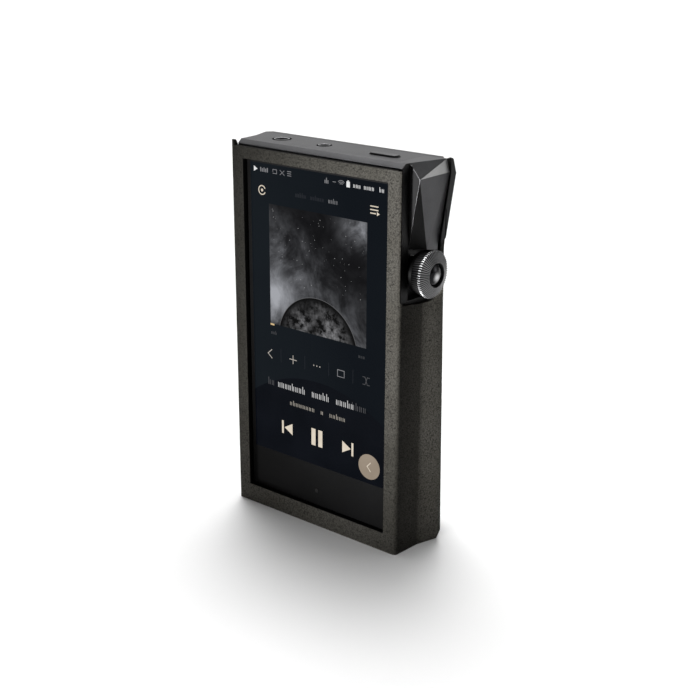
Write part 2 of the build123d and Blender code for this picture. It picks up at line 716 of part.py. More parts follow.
def knob_cap():
    """Polished dome in the middle of the knob's face."""
    ball_r = (CAP_R ** 2 + CAP_RISE ** 2) / (2 * CAP_RISE)
    centre_x = KNOB_SEAT + CAP_EDGE + CAP_RISE - ball_r
    half = math.asin(CAP_R / ball_r) / 2
    middle = (centre_x + ball_r * math.cos(half), ball_r * math.sin(half))
    edge = (KNOB_SEAT + CAP_EDGE, CAP_R)
    tip = (centre_x + ball_r, 0)
    with BuildSketch(Plane.XY) as profile:
        with BuildLine():
            ThreePointArc(edge, middle, tip)
            Polyline(tip, (KNOB_SEAT, 0), (KNOB_SEAT, CAP_R), edge)
        make_face()
    return Pos(0, KNOB_Y, KNOB_Z) * revolve(profile.sketch, Axis.X)


# ================= buttons =================

def power_button():
    """Stadium-shaped key in the top face, with the stem that works its switch."""
    shoulder = PLAYER_TOP - WALL
    stem_r, stem_length = POWER_STEM
    cap = pill(POWER_SIZE, shoulder, PLAYER_TOP + POWER_PROUD)
    cap = fillet(cap.faces().sort_by(Axis.Z)[-1].edges(), 0.35)
    stem = along_z(stem_r, shoulder - stem_length, shoulder + 0.1, 0, 0)
    return Pos(POWER_X, POWER_Y, 0) * (cap + stem)


def power_switch():
    """Click switch under the power button."""
    half = POWER_SWITCH_HALF
    low = PLAYER_TOP - WALL - POWER_SWITCH_DROP
    top = low + POWER_SWITCH_T
    body = box((POWER_X - half, POWER_X + half), (POWER_Y - half, POWER_Y + half), (low, top))
    return body + along_z(POWER_STEM[0] - 0.1, top - 0.1, top + 0.5, POWER_X, POWER_Y)


def power_switch_board():
    """Small board that carries the power switch."""
    high = PLAYER_TOP - WALL - POWER_SWITCH_DROP
    return box((POWER_BOARD_X, CAVITY_RIGHT_UPPER), POWER_BOARD_Y, (high - 0.8, high))


def side_button(z):
    cap = pill(SIDE_SIZE, -SIDE_LENGTH, 0)
    cap = fillet(cap.faces().sort_by(Axis.Z)[-1].edges(), 0.3)
    return flank_plane(z) * cap


def side_switches():
    """Three click switches behind the side buttons."""
    switches = []
    for step in (-1, 0, 1):
        body = Pos(0, 0, -SIDE_LENGTH - 1.7) * Box(4.5, 3.2, 2.0)
        body += Pos(0, 0, -SIDE_LENGTH - 0.6) * Cylinder(0.9, 0.3)
        switches.append(flank_plane(SIDE_MID_Z + step * SIDE_PITCH) * body)
    return switches


def side_board():
    """Board behind the side switches, parallel to the flank."""
    return flank_plane(SIDE_MID_Z) * Pos(0, 0, -SIDE_LENGTH - 3.1) * Box(*SIDE_BOARD)


def battery_pads():
    """Two foam pads between the battery and the back."""
    depth = (BATTERY_Y[1], BACK_Y - REAR_WALL)
    return [box((x, x + PAD_WIDTH), depth, PAD_Z) for x in PAD_X]


def display_flex():
    """Flat cable from the display, through the bracket's slot, to the main board."""
    low, high = CABLE_SLOT_Z[0] + 2, BOARD_Y - 0.2
    near = CAVITY_Y + 0.2
    return ribbon([(near, low + 5), (near, low), (high, low), (high, low + 11)], FLEX_WIDTH)


def battery_lead():
    """Flat lead from the top of the battery to the main board."""
    top = BATTERY_Z[1]
    middle = sum(BATTERY_Y) / 2 - 0.4
    turn, land = BOARD_BACK + 2.0, BOARD_BACK + 0.2
    path = [(middle, top + 0.1), (middle, top + 1.4), (turn, top + 1.4), (turn, top - 4), (land, top - 4)]
    return Pos(LEAD_X, 0, 0) * ribbon(path, LEAD_WIDTH)


def guard_screws():
    """Screws that hold the guard from inside the frame."""
    inner = CAVITY_RIGHT_UPPER
    return [along_x(HEAD_R, inner - HEAD_T, inner, GUARD_SCREW_Y, z)
            + along_x(SCREW_R, inner, POCKET_X + GUARD_SCREW_BITE, GUARD_SCREW_Y, z)
            for z in GUARD_SCREW_Z]


def build():
    """Every piece of the assembly, by its node name."""
    antenna_back = BACK_Y - REAR_WALL
    nodes = {
        "case_front_wrap": case_front_wrap(),
        "case_back_panel": case_back_panel(),
        "case_bottom_panel": case_bottom_panel(),
        "front_frame": front_frame(),
        "rear_shell": rear_shell(),
        "knob_guard": knob_guard(),
        "pocket_liner": pocket_liner(),
        "cover_glass": cover_glass(),
        "touch_sensor": touch_sensor(),
        "display_panel": display_panel(),
        "display_bracket": display_bracket(),
        "main_board": board((BOARD_LEFT, MAIN_BOARD_RIGHT), MAIN_BOARD_Z),
        "audio_board": board((BOARD_LEFT, AUDIO_BOARD_RIGHT), AUDIO_BOARD_Z),
        "processor_shield": chip(2.0, 52.0, 2.2, 24.0, 22.0),
        "memory_chip": chip(-19.0, 52.0, 1.1, 12.0, 14.0),
        "power_shield": chip(14.0, 28.0, 2.2, 18.0, 14.0),
        "radio_shield": chip(-20.0, 76.0, 1.8, 13.0, 12.0),
        "dac_chips": [chip(x, DAC_Z, 1.2, 7.0, 7.0) for x in DAC_X],
        "amplifier_shields": [chip(x, AMPLIFIER_Z, 3.0, 14.0, 10.0) for x in AMPLIFIER_X],
        "battery_pack": box((-BATTERY_HALF, BATTERY_HALF), BATTERY_Y, BATTERY_Z),
        "battery_pads": battery_pads(),
        "wifi_antenna": box(ANTENNA_X, (antenna_back - ANTENNA_T, antenna_back), ANTENNA_Z),
        "headphone_jack": jack(PHONE),
        "headphone_jack_ring": jack_ring(PHONE),
        "balanced_jack": jack(BALANCED),
        "balanced_jack_ring": jack_ring(BALANCED),
        "usb_port": usb_port(),
        "usb_tongue": usb_tongue(),
        "card_slot": card_slot(),
        "encoder_body": encoder_body(),
        "encoder_bush": encoder_bush(),
        "encoder_nut": encoder_nut(),
        "encoder_shaft": along_x(SHAFT_R, ENCODER_X + 1.0, SHAFT_END),
        "light_ring": light_ring(),
        "volume_knob": volume_knob(),
        "knob_cap": knob_cap(),
        "power_button": power_button(),
        "power_switch": power_switch(),
        "power_switch_board": power_switch_board(),
        "side_switches": side_switches(),
        "side_board": side_board(),
        "display_flex": display_flex(),
        "battery_lead": battery_lead(),
        "board_screws": [screw_y(x, z, BOARD_BACK, BOARD_SCREW_REACH) for x, z in board_screw_places()],
        "shell_screws": [screw_y(x, z, BACK_Y - HEAD_T - 0.1, SHELL_SCREW_REACH)
                         for x, z in shell_screw_places()],
        "guard_screws": guard_screws(),
    }
    for step, name in ((-1, "previous_button"), (0, "play_button"), (1, "next_button")):
        nodes[name] = side_button(SIDE_MID_Z - step * SIDE_PITCH)
    return nodes


os.makedirs("parts", exist_ok=True)
centre = Pos(0, -CASE_DEPTH / 2, 0)
for name, piece in build().items():
    solids = piece if isinstance(piece, list) else [piece]
    placed = Compound([solid for item in solids for solid in (centre * item).solids()])
    export_step(placed, f"parts/{name}.step")
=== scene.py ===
import json
import math
import random

import bmesh
import bpy
from mathutils import Matrix, Vector


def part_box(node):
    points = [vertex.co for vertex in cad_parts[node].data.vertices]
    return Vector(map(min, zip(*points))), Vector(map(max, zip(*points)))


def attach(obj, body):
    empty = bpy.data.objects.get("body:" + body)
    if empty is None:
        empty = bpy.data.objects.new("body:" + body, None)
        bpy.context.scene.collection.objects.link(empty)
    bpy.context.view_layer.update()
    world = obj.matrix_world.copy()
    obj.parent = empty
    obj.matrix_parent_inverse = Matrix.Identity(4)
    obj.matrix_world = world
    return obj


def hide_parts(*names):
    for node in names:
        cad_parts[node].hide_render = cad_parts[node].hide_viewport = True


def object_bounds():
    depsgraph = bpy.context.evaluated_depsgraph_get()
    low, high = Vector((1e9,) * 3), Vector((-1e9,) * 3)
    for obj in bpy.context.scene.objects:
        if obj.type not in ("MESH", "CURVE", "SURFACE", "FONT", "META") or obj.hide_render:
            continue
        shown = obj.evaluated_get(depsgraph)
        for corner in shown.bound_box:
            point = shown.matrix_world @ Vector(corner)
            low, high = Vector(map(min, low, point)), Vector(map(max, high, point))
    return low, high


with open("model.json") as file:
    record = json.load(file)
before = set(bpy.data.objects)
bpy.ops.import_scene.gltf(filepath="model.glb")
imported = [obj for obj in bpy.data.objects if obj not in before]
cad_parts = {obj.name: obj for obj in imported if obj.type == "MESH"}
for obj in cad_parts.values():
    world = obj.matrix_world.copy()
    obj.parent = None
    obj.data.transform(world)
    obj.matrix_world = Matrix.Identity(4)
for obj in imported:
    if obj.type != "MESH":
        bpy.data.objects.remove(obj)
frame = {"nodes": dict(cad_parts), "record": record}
cad_low, cad_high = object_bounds()
MM = 0.001

# ---- camera, in the row frame: it stands to the right of the front and looks slightly down ----
CAMERA_PLACE = Vector((0.27854, -0.34111, 0.22062))
CAMERA_YAW = math.radians(39.24)
CAMERA_PITCH = math.radians(19.17)
CAMERA_ROLL = math.radians(0.20)
CAMERA_LENS = 65.785

# ---- the frontal lamp, aimed at the upper right of the case's front ----
LAMP_PLACE = Vector((0.0, -0.45, 0.045))
LAMP_AIM = Vector((0.056, cad_low.y, 0.104))
LAMP_CONE = math.radians(33)
LAMP_POWER = 44.0
LAMP_RADIUS = 0.03

# ---- case: its display window, the top of its front, and how far back its front folds, metres ----
WINDOW_HALF = 32.75 * MM
WINDOW_LOW, WINDOW_HIGH = 7.3 * MM, 135.4 * MM
FRONT_TOP = 139.65 * MM
FOLD_DEPTH = 12.0 * MM

# ---- player: where the painted shade on the frame's right flank begins, across from the middle, metres ----
FLANK_SHADE_START = 36.75 * MM

# ---- teeth round the knob's rim, which are also the ribs of its cones ----
TEETH = 60

# ---- colours shared by several finishes; the near black one is painted shade ----
PAINTED_SHADE_BLACK = (0.004, 0.004, 0.004)
PIXEL_OFF = (0.0004, 0.0004, 0.0004)


# ================= shader helpers =================

class Nodes:
    """Shader nodes, built by naming node types and what goes into them."""

    def __init__(self, tree):
        self.tree = tree

    def put(self, socket, value):
        if isinstance(value, bpy.types.NodeSocket):
            self.tree.links.new(value, socket)
        else:
            socket.default_value = value

    def add(self, kind, inputs=None, **settings):
        node = self.tree.nodes.new(kind)
        for key, value in settings.items():
            setattr(node, key, value)
        for key, value in (inputs or {}).items():
            self.put(node.inputs[key], value)
        return node

    def math(self, operation, a, b=0.0, clamp=False):
        return self.add("ShaderNodeMath", {0: a, 1: b}, operation=operation, use_clamp=clamp).outputs[0]

    def vector(self, operation, a, b):
        """Vector from two vectors."""
        return self.add("ShaderNodeVectorMath", {0: a, 1: b}, operation=operation).outputs["Vector"]

    def measure(self, operation, a, b):
        """Number from two vectors, such as their distance."""
        return self.add("ShaderNodeVectorMath", {0: a, 1: b}, operation=operation).outputs["Value"]

    def scaled(self, colour, factor):
        inputs = {0: colour, "Scale": factor}
        return self.add("ShaderNodeVectorMath", inputs, operation="SCALE").outputs["Vector"]


class Shader(Nodes):
    """A material whose patterns run in object coordinates."""

    def __init__(self, name):
        self.material = bpy.data.materials.new(name)
        self.material.use_nodes = True
        super().__init__(self.material.node_tree)
        self.surface = self.tree.nodes["Principled BSDF"]
        self.place = self.add("ShaderNodeTexCoord").outputs["Object"]

    def set(self, **values):
        """Inputs of the surface; an underscore stands for a space."""
        for key, value in values.items():
            self.put(self.surface.inputs[key.replace("_", " ")], value)

    def noise(self, size_mm, detail=2.0, roughness=0.5, place=None, distortion=0.0):
        """Noise between 0 and 1 whose features are about so many millimetres across."""
        inputs = {"Vector": place or self.place, "Scale": 1 / (size_mm * MM), "Detail": detail,
                  "Roughness": roughness, "Distortion": distortion}
        return self.add("ShaderNodeTexNoise", inputs).outputs["Fac"]

    def cells(self, size_mm, place):
        """Soft-edged pattern of cells of about that size."""
        inputs = {"Vector": place, "Scale": 1 / (size_mm * MM)}
        return self.add("ShaderNodeTexVoronoi", inputs, feature="SMOOTH_F1").outputs["Distance"]

    def span(self, value, low, high, to_low=0.0, to_high=1.0):
        """Value stretched from one range to another, and held at its ends."""
        inputs = {"Value": value, "From Min": low, "From Max": high, "To Min": to_low, "To Max": to_high}
        return self.add("ShaderNodeMapRange", inputs).outputs["Result"]

    def blend(self, factor, a, b):
        """Mix of two colours."""
        colours = [c if isinstance(c, bpy.types.NodeSocket) else (*c, 1.0) for c in (a, b)]
        node = self.add("ShaderNodeMix", data_type="RGBA")
        self.put(node.inputs["Factor"], factor)
        self.put(node.inputs[6], colours[0])
        self.put(node.inputs[7], colours[1])
        return node.outputs[2]

    def bump(self, height, depth_mm, strength):
        inputs = {"Height": height, "Distance": depth_mm * MM, "Strength": strength}
        self.set(Normal=self.add("ShaderNodeBump", inputs).outputs["Normal"])

    def axes(self):
        """The three object coordinates, in metres."""
        return self.add("ShaderNodeSeparateXYZ", {"Vector": self.place}).outputs[:3]

    def within(self, value, middle, half, edge):
        """1 where a coordinate is inside a band, falling to 0 over the width of its edge, in metres."""
        away = self.math("ABSOLUTE", self.math("SUBTRACT", value, middle))
        return self.span(away, half, half + edge, 1.0, 0.0)


# ================= materials =================

BLAST_GRAIN_MM = 0.13


def leather(name="leather", light_and_shade_tint=None):
    """Fine pebbled grain with pale grit on top of each pebble; the tint function, if given, paints light, shade and
    edge colours onto it.
    """
    s = Shader(name)
    wobble = s.add("ShaderNodeTexNoise", {"Vector": s.place, "Scale": 1 / (1.6 * MM), "Detail": 2.0})
    shift = s.vector("MULTIPLY", wobble.outputs["Color"], (0.35 * MM,) * 3)
    pebbles = s.cells(0.5, s.vector("ADD", s.place, shift))
    fine = s.noise(0.20, 3.0, 0.65)
    cloud = s.noise(16.0, 3.0, 0.55)
    height = s.math("ADD", s.math("MULTIPLY", pebbles, -1.0), s.math("MULTIPLY", fine, 0.6))
    grit = s.math("ADD", s.math("MULTIPLY", height, 0.5), s.noise(0.34, 3.0, 0.7))
    wear_and_painted_light = s.blend(s.span(cloud, 0.35, 0.7), (0.0215, 0.0203, 0.0174), (0.0264, 0.0252, 0.0223))
    colour = s.blend(s.span(grit, 0.16, 0.58), (0.0028, 0.0027, 0.0024), wear_and_painted_light)
    s.set(Base_Color=light_and_shade_tint(s, colour) if light_and_shade_tint else colour)
    s.set(Roughness=s.span(fine, 0.3, 0.7, 0.52, 0.70))
    s.set(Specular_IOR_Level=0.02)
    s.bump(height, 0.09, 0.9)
    return s.material


def front_edges(s, colour):
    """Painted light: paler at the left foot, the upper right and behind the fold; painted shade behind the front's
    top edge; black round the window; a raw foot edge.
    """
    low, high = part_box("case_front_wrap")
    x, y, z = s.axes()
    # painted light: the face is paler at the left foot and the upper right, and the side is paler behind the fold,
    # where the light falls
    rise = s.math("POWER", s.span(z, 0.0, 110 * MM, 1.0, 0.0), 2.0)
    left = s.math("ADD", s.math("MULTIPLY", rise, 2.7), 0.65)
    right = s.span(z, 20 * MM, 125 * MM, 0.9, 1.3)
    side = s.span(x, low.x + 5 * MM, high.x - 5 * MM)
    left_share = s.math("MULTIPLY", left, s.math("SUBTRACT", 1.0, side))
    painted_light_on_face = s.math("ADD", left_share, s.math("MULTIPLY", right, side))
    on_fold = s.span(y, low.y + FOLD_DEPTH - 0.4 * MM, low.y + FOLD_DEPTH + 0.4 * MM)
    painted_light_on_side = s.math("ADD", s.math("MULTIPLY", on_fold, 0.85), 0.9)
    on_face = s.span(y, low.y + 0.3 * MM, low.y + 1.8 * MM, 1.0, 0.0)
    face_share = s.math("MULTIPLY", on_face, painted_light_on_face)
    side_share = s.math("MULTIPLY", s.math("SUBTRACT", 1.0, on_face), painted_light_on_side)
    wear_and_painted_light = s.scaled(colour, s.math("ADD", face_share, side_share))
    foot = s.math("MULTIPLY", s.span(z, 0.15 * MM, 0.45 * MM, 1.0, 0.0), 0.6)
    shown = s.blend(foot, wear_and_painted_light, (0.075, 0.072, 0.064))
    # painted shade in the gap between the front's top edge and the frame
    painted_shade_behind_top = s.math("MULTIPLY", s.span(z, FRONT_TOP - 0.5 * MM, FRONT_TOP - 0.4 * MM),
                         s.span(y, low.y + 1.2 * MM, low.y + 1.3 * MM))
    edge = 0.12 * MM
    window_x = s.within(x, (low.x + high.x) / 2, WINDOW_HALF, edge)
    window_z = s.within(z, (WINDOW_LOW + WINDOW_HIGH) / 2, (WINDOW_HIGH - WINDOW_LOW) / 2, edge)
    black = s.math("MAXIMUM", painted_shade_behind_top, s.math("MULTIPLY", window_x, window_z))
    return s.blend(black, shown, (0.002, 0.002, 0.002))


def back_edges(s, colour):
    """Painted shade: dark on the edge where the rear half of the case meets the guard."""
    low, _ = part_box("case_back_panel")
    _, y, z = s.axes()
    near = s.span(y, low.y + 1.5 * MM, low.y + 2.2 * MM, 1.0, 0.0)
    high_up = s.span(z, FRONT_TOP - 45 * MM, FRONT_TOP - 40 * MM)
    return s.blend(s.math("MULTIPLY", near, high_up), colour, PAINTED_SHADE_BLACK)


def frame_flank(s, colour):
    """Painted shade: near black on the frame's right flank, in front of the guard and round the knob's pocket."""
    x, _, _ = s.axes()
    return s.blend(s.span(x, FLANK_SHADE_START, FLANK_SHADE_START + 0.1 * MM), colour, (0.007, 0.007, 0.007))


def banded_ring(name, node):
    """Turned ring: black outer band of painted shade, grey bevelled lip."""
    low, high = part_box(node)
    s = Shader(name)
    x, y, _ = s.axes()
    dx = s.math("SUBTRACT", x, (low.x + high.x) / 2)
    dy = s.math("SUBTRACT", y, (low.y + high.y) / 2)
    reach = s.math("SQRT", s.math("ADD", s.math("MULTIPLY", dx, dx), s.math("MULTIPLY", dy, dy)))
    outer = (high.x - low.x) / 2
    grain = s.noise(BLAST_GRAIN_MM, 3.0, 0.65)
    # painted shade: the outer band is near black and without metal sheen
    band = s.span(reach, outer * 0.80, outer * 0.83)
    lip = s.blend(grain, (0.16, 0.16, 0.165), (0.22, 0.22, 0.225))
    s.set(Base_Color=s.blend(band, lip, PAINTED_SHADE_BLACK), Metallic=s.span(band, 0.0, 1.0, 0.9, 0.0))
    s.set(Roughness=s.span(grain, 0.3, 0.7, 0.45, 0.6), Specular_IOR_Level=0.0)
    s.bump(grain, 0.008, 0.6)
    return s.material


def crown_metal():
    """Black anodised crown with painted light: bright crests on its teeth and ribs, and painted shade at the rear
    and the foot of the rim.
    """
    low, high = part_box("volume_knob")
    middle = (low + high) / 2
    s = Shader("crown_metal")
    x, y, z = s.axes()
    dy = s.math("SUBTRACT", y, middle.y)
    dz = s.math("SUBTRACT", z, middle.z)
    turn = s.math("MULTIPLY", s.math("ARCTAN2", dz, dy), TEETH / (2 * math.pi))
    crest = s.math("MULTIPLY", s.math("PINGPONG", turn, 0.5), 2.0)
    grain = s.noise(BLAST_GRAIN_MM, 3.0, 0.65)
    rim = s.within(x, high.x - 1.85 * MM, 0.45 * MM, 0.1 * MM)
    # painted highlight: the crests of the teeth on the rim are coloured bright
    tooth_glint = s.math("MULTIPLY", s.span(crest, 0.55, 0.75), rim)
    # painted shade: the rear cone darkens to near black, and so do the valleys between the ribs
    rear = s.blend(s.span(x, high.x - 5.0 * MM, high.x - 2.4 * MM), PAINTED_SHADE_BLACK, (0.04, 0.04, 0.041))
    bright = s.blend(s.span(x, high.x - 1.6 * MM, high.x - 1.5 * MM), rear, (0.16, 0.16, 0.163))
    rib_light_and_shade = s.blend(s.span(crest, 0.25, 0.8), PAINTED_SHADE_BLACK, bright)
    shaded = s.vector("MULTIPLY", rib_light_and_shade, s.blend(grain, (0.8, 0.8, 0.8), (1.2, 1.2, 1.2)))
    # painted highlight: the glint is strongest at the front and top of the crown, dull at the rear and the foot
    in_light = s.math("MULTIPLY", s.span(y, middle.y, high.y, 1.0, 0.12),
                      s.span(z, low.z, low.z + 4 * MM, 0.05, 1.0))
    painted_glint = s.blend(in_light, (0.03, 0.03, 0.03), (0.85, 0.85, 0.86))
    s.set(Base_Color=s.blend(tooth_glint, shaded, painted_glint), Metallic=0.9)
    s.set(Roughness=s.span(tooth_glint, 0.0, 1.0, 0.38, 0.25))
    s.bump(grain, 0.008, 0.6)
    return s.material


def cap_metal():
    """Black-plated dome with a painted highlight: its colour brightens towards the lower middle."""
    low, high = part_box("knob_cap")
    s = Shader("cap_metal")
    spot = (low + high) / 2 - Vector((0.0, 0.2, 0.6)) * MM
    haze = s.noise(0.6, 3.0)
    reach = s.math("ADD", s.measure("DISTANCE", s.place, spot), s.math("MULTIPLY", haze, 0.3 * MM))
    painted_highlight = s.span(reach, 0.4 * MM, 2.3 * MM, 1.0, 0.0)
    s.set(Base_Color=s.blend(s.math("POWER", painted_highlight, 1.7), (0.009, 0.009, 0.010), (0.95, 0.95, 0.96)))
    s.set(Metallic=0.9, Roughness=s.span(haze, 0.3, 0.7, 0.16, 0.22))
    return s.material


def blasted(name, colour, roughness=0.4, light_and_shade_tint=None):
    """Bead-blasted and anodised metal: tight sparkle, faint cloudiness; the tint function, if given, paints shade
    onto it.
    """
    s = Shader(name)
    grain = s.noise(BLAST_GRAIN_MM, 3.0, 0.65)
    cloud = s.noise(9.0, 2.0)
    darker = tuple(c * 0.72 for c in colour)
    lighter = tuple(min(1.0, c * 1.3) for c in colour)
    tone = s.math("ADD", s.math("MULTIPLY", grain, 0.75), s.math("MULTIPLY", cloud, 0.25))
    shown = s.blend(s.span(tone, 0.36, 0.64), darker, lighter)
    s.set(Base_Color=light_and_shade_tint(s, shown) if light_and_shade_tint else shown, Metallic=0.9)
    s.set(Roughness=s.span(grain, 0.3, 0.7, roughness - 0.05, roughness + 0.07))
    s.bump(grain, 0.012, 0.8)
    return s.material


def brushed(name, colour, roughness=0.3, metallic=1.0, stretch=(1.0, 1.0, 0.03)):
    """Drawn metal with fine streaks along one direction."""
    s = Shader(name)
    streaks = s.noise(0.12, 3.0, 0.6, s.vector("MULTIPLY", s.place, stretch))
    s.set(Base_Color=s.blend(streaks, tuple(c * 0.75 for c in colour), colour))
    s.set(Metallic=metallic, Roughness=s.span(streaks, 0.3, 0.7, roughness - 0.06, roughness + 0.1))
    s.bump(streaks, 0.008, 0.6)
    return s.material


def moulded(name, colour, roughness=0.5, grain_mm=0.25, depth_mm=0.01, specular=0.4):
    """Moulded or coated surface with a light texture."""
    s = Shader(name)
    grain = s.noise(grain_mm, 3.0, 0.6)
    cloud = s.noise(6.0, 2.0)
    darker = tuple(c * 0.8 for c in colour)
    lighter = tuple(min(1.0, c * 1.15) for c in colour)
    s.set(Base_Color=s.blend(cloud, darker, lighter))
    s.set(Roughness=s.span(grain, 0.3, 0.7, roughness - 0.06, roughness + 0.08))
    s.set(Specular_IOR_Level=specular)
    s.bump(grain, depth_mm, 0.5)
    return s.material


def circuit_board():
    """Dark green mask with copper tracks showing through as a lighter tint."""
    s = Shader("circuit_board")
    x, _, z = s.axes()
    bent = s.math("ADD", x, s.math("MULTIPLY", s.noise(7.0, 0.0), 8 * MM))
    lanes = s.math("SINE", s.math("MULTIPLY", bent, 2 * math.pi / (0.9 * MM)))
    rows = s.math("SINE", s.math("MULTIPLY", z, 2 * math.pi / (6.0 * MM)))
    tracks = s.span(s.math("MULTIPLY", lanes, s.span(rows, -0.2, 0.2)), 0.4, 0.6)
    s.set(Base_Color=s.blend(tracks, (0.008, 0.035, 0.022), (0.02, 0.075, 0.045)))
    s.set(Roughness=s.span(s.noise(0.5), 0.3, 0.7, 0.28, 0.4), Specular_IOR_Level=0.5)
    s.bump(tracks, 0.03, 0.5)
    return s.material


def cover_glass():
    """Polished black-backed glass with the faintest smear of handling."""
    s = Shader("cover_glass")
    smear = s.noise(14.0, 4.0, 0.6, distortion=0.6)
    s.set(Base_Color=s.blend(smear, (0.0035, 0.0035, 0.0035), (0.0050, 0.0050, 0.0052)))
    s.set(Roughness=s.span(smear, 0.3, 0.75, 0.04, 0.11), Specular_IOR_Level=0.02)
    return s.material


def glowing(s, tone):
    """Surface of a lit pixel seen through the glass: its own light, and a faint gloss over black."""
    s.set(Base_Color=(*PIXEL_OFF, 1.0), Roughness=0.07, Specular_IOR_Level=0.015)
    s.set(Emission_Color=tone, Emission_Strength=1.0)
    return s.material


def lit(name, low, high, size_mm=3.0):
    """Lit pixels whose light varies a little between two colours."""
    s = Shader(name)
    return glowing(s, s.blend(s.span(s.noise(size_mm, 3.0), 0.3, 0.7), low, high))


def lit_field():
    """Screen background: deep blue, darker towards the right."""
    s = Shader("lit_field")
    x, _, _ = s.axes()
    drift = s.span(s.noise(22.0, 3.0), 0.3, 0.7, -0.15, 0.15)
    dark = s.math("ADD", s.span(x, -28 * MM, 20 * MM), drift, clamp=True)
    return glowing(s, s.blend(dark, (0.0062, 0.0092, 0.0126), (0.0024, 0.0044, 0.0074)))


def lit_clouds(low, high):
    """Cover art sky: haze from the left down to the right, a glow at the left and a patch top right."""
    s = Shader("lit_clouds")
    x, _, z = s.axes()
    u = s.span(x, low.x, high.x)
    v = s.span(z, low.z, high.z)
    spot = s.add("ShaderNodeCombineXYZ", {"X": u, "Y": v}).outputs[0]

    def glow(at_u, at_v, reach):
        away = s.measure("DISTANCE", spot, (at_u, at_v, 0.0))
        return s.math("POWER", s.span(away, 0.0, reach, 1.0, 0.0), 2.0)

    billow = s.noise(15.0, 7.0, 0.64, distortion=0.9)
    wisps = s.noise(6.0, 6.0, 0.62, distortion=0.5)
    shape = s.span(s.math("ADD", s.math("MULTIPLY", billow, 0.7), s.math("MULTIPLY", wisps, 0.3)), 0.41, 0.64)
    slant = s.math("ADD", s.math("MULTIPLY", u, 0.55), s.math("MULTIPLY", v, 0.75))
    corner = s.math("MULTIPLY", glow(0.95, 0.95, 0.34), 0.9)
    haze = s.math("ADD", s.span(slant, 0.12, 0.86, 0.62, 0.03), corner)
    cloud = s.math("MULTIPLY", s.math("ADD", s.math("POWER", shape, 1.5), 0.10), haze)
    total = s.math("ADD", cloud, glow(0.07, 0.27, 0.30))
    return glowing(s, s.blend(total, (0.0022, 0.0022, 0.0030), (0.36, 0.37, 0.40)))


def lit_moon(centre, radius):
    """Cover art moon: dark rim, mottled face and a thin bright edge."""
    s = Shader("lit_moon")
    away = s.measure("DISTANCE", s.place, centre)
    rock = s.noise(3.2, 8.0, 0.68)
    patches = s.noise(11.0, 3.0, 0.5)
    face = s.math("MULTIPLY", s.span(rock, 0.42, 0.68), s.span(patches, 0.40, 0.60, 0.05, 1.0))
    shade = s.span(away, radius * 0.55, radius * 0.97, 1.0, 0.0)
    rim = s.span(away, radius * 0.985, radius, 0.0, 0.55)
    glow = s.math("ADD", s.math("MULTIPLY", face, shade), rim)
    return glowing(s, s.blend(glow, (0.0016, 0.0016, 0.0018), (0.28, 0.28, 0.29)))


LIBRARY = {
    "leather": leather(),
    "anodised_dark": blasted("anodised_dark", (0.056, 0.056, 0.058)),
    "anodised_black": blasted("anodised_black", (0.035, 0.035, 0.037), 0.42),
    "ring_metal": blasted("ring_metal", (0.07, 0.07, 0.073), 0.28),
    "black_glass": cover_glass(),
    "sensor_film": moulded("sensor_film", (0.05, 0.05, 0.055), 0.15, 2.0, 0.002),
    "display": moulded("display", (0.012, 0.014, 0.02), 0.2, 1.0, 0.002),
    "steel": brushed("steel", (0.55, 0.55, 0.53)),
    "magnesium": blasted("magnesium", (0.4, 0.4, 0.39), 0.5),
    "circuit_board": circuit_board(),
    "chip_plastic": moulded("chip_plastic", (0.012, 0.012, 0.013), 0.5),
    "pouch_cell": brushed("pouch_cell", (0.28, 0.28, 0.29), 0.45, 0.6),
    "foam": moulded("foam", (0.02, 0.02, 0.02), 0.9, 0.5, 0.08),
    # black_plastic also lines the knob's pocket, where it is a black sheet standing in for the shade there
    "black_plastic": moulded("black_plastic", (0.004, 0.004, 0.004), 0.42, specular=0.15),
    "flex": moulded("flex", (0.35, 0.15, 0.03), 0.3, 1.0, 0.003),
    "shaft_steel": brushed("shaft_steel", (0.5, 0.5, 0.5), 0.22, 1.0, (0.05, 1.0, 1.0)),
    "cap_gloss": cap_metal(),
    "smoked_diffuser": moulded("smoked_diffuser", (0.012, 0.012, 0.013), 0.3),
    "screw_steel": brushed("screw_steel", (0.12, 0.12, 0.12), 0.35),
}


# ================= mesh helpers =================

SAME_POINT = 0.002 * MM


def finish_piece(name, mesh_data, body, material, angle):
    """Object from a bmesh: shaded smooth up to an angle, riding on a body, with its material."""
    mesh = bpy.data.meshes.new(name)
    mesh_data.to_mesh(mesh)
    mesh_data.free()
    mesh.materials.clear()
    mesh.materials.append(material)
    piece = bpy.data.objects.new(name, mesh)
    bpy.context.scene.collection.objects.link(piece)
    mesh.shade_smooth()
    mesh.set_sharp_from_angle(angle=math.radians(angle))
    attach(piece, body)
    return piece


def softened(node, body, slot, width_mm, material=None):
    """Copy of a CAD node with its sharp edges rounded over, standing in for the node."""
    flat_angle, sharp_angle = math.radians(1.0), math.radians(28)
    data = bmesh.new()
    data.from_mesh(frame["nodes"][node].data)
    bmesh.ops.remove_doubles(data, verts=data.verts, dist=SAME_POINT)
    bmesh.ops.dissolve_limit(data, angle_limit=flat_angle, verts=data.verts, edges=data.edges)
    sharp = [e for e in data.edges if len(e.link_faces) == 2 and e.calc_face_angle() > sharp_angle]
    bmesh.ops.bevel(data, geom=sharp, offset=width_mm * MM, offset_type="OFFSET", segments=2,
                    profile=0.6, affect="EDGES", clamp_overlap=True)
    bmesh.ops.triangulate(data, faces=[f for f in data.faces if len(f.verts) > 4])
    smooth_angle = 40.0 if slot in ("leather", "ring_metal") else 12.0
    piece = finish_piece(node + "_soft", data, body, material or LIBRARY[slot], smooth_angle)
    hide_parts(node)


def plain(row, angle):
    """Ripple of a round surface: none."""
    return 0.0


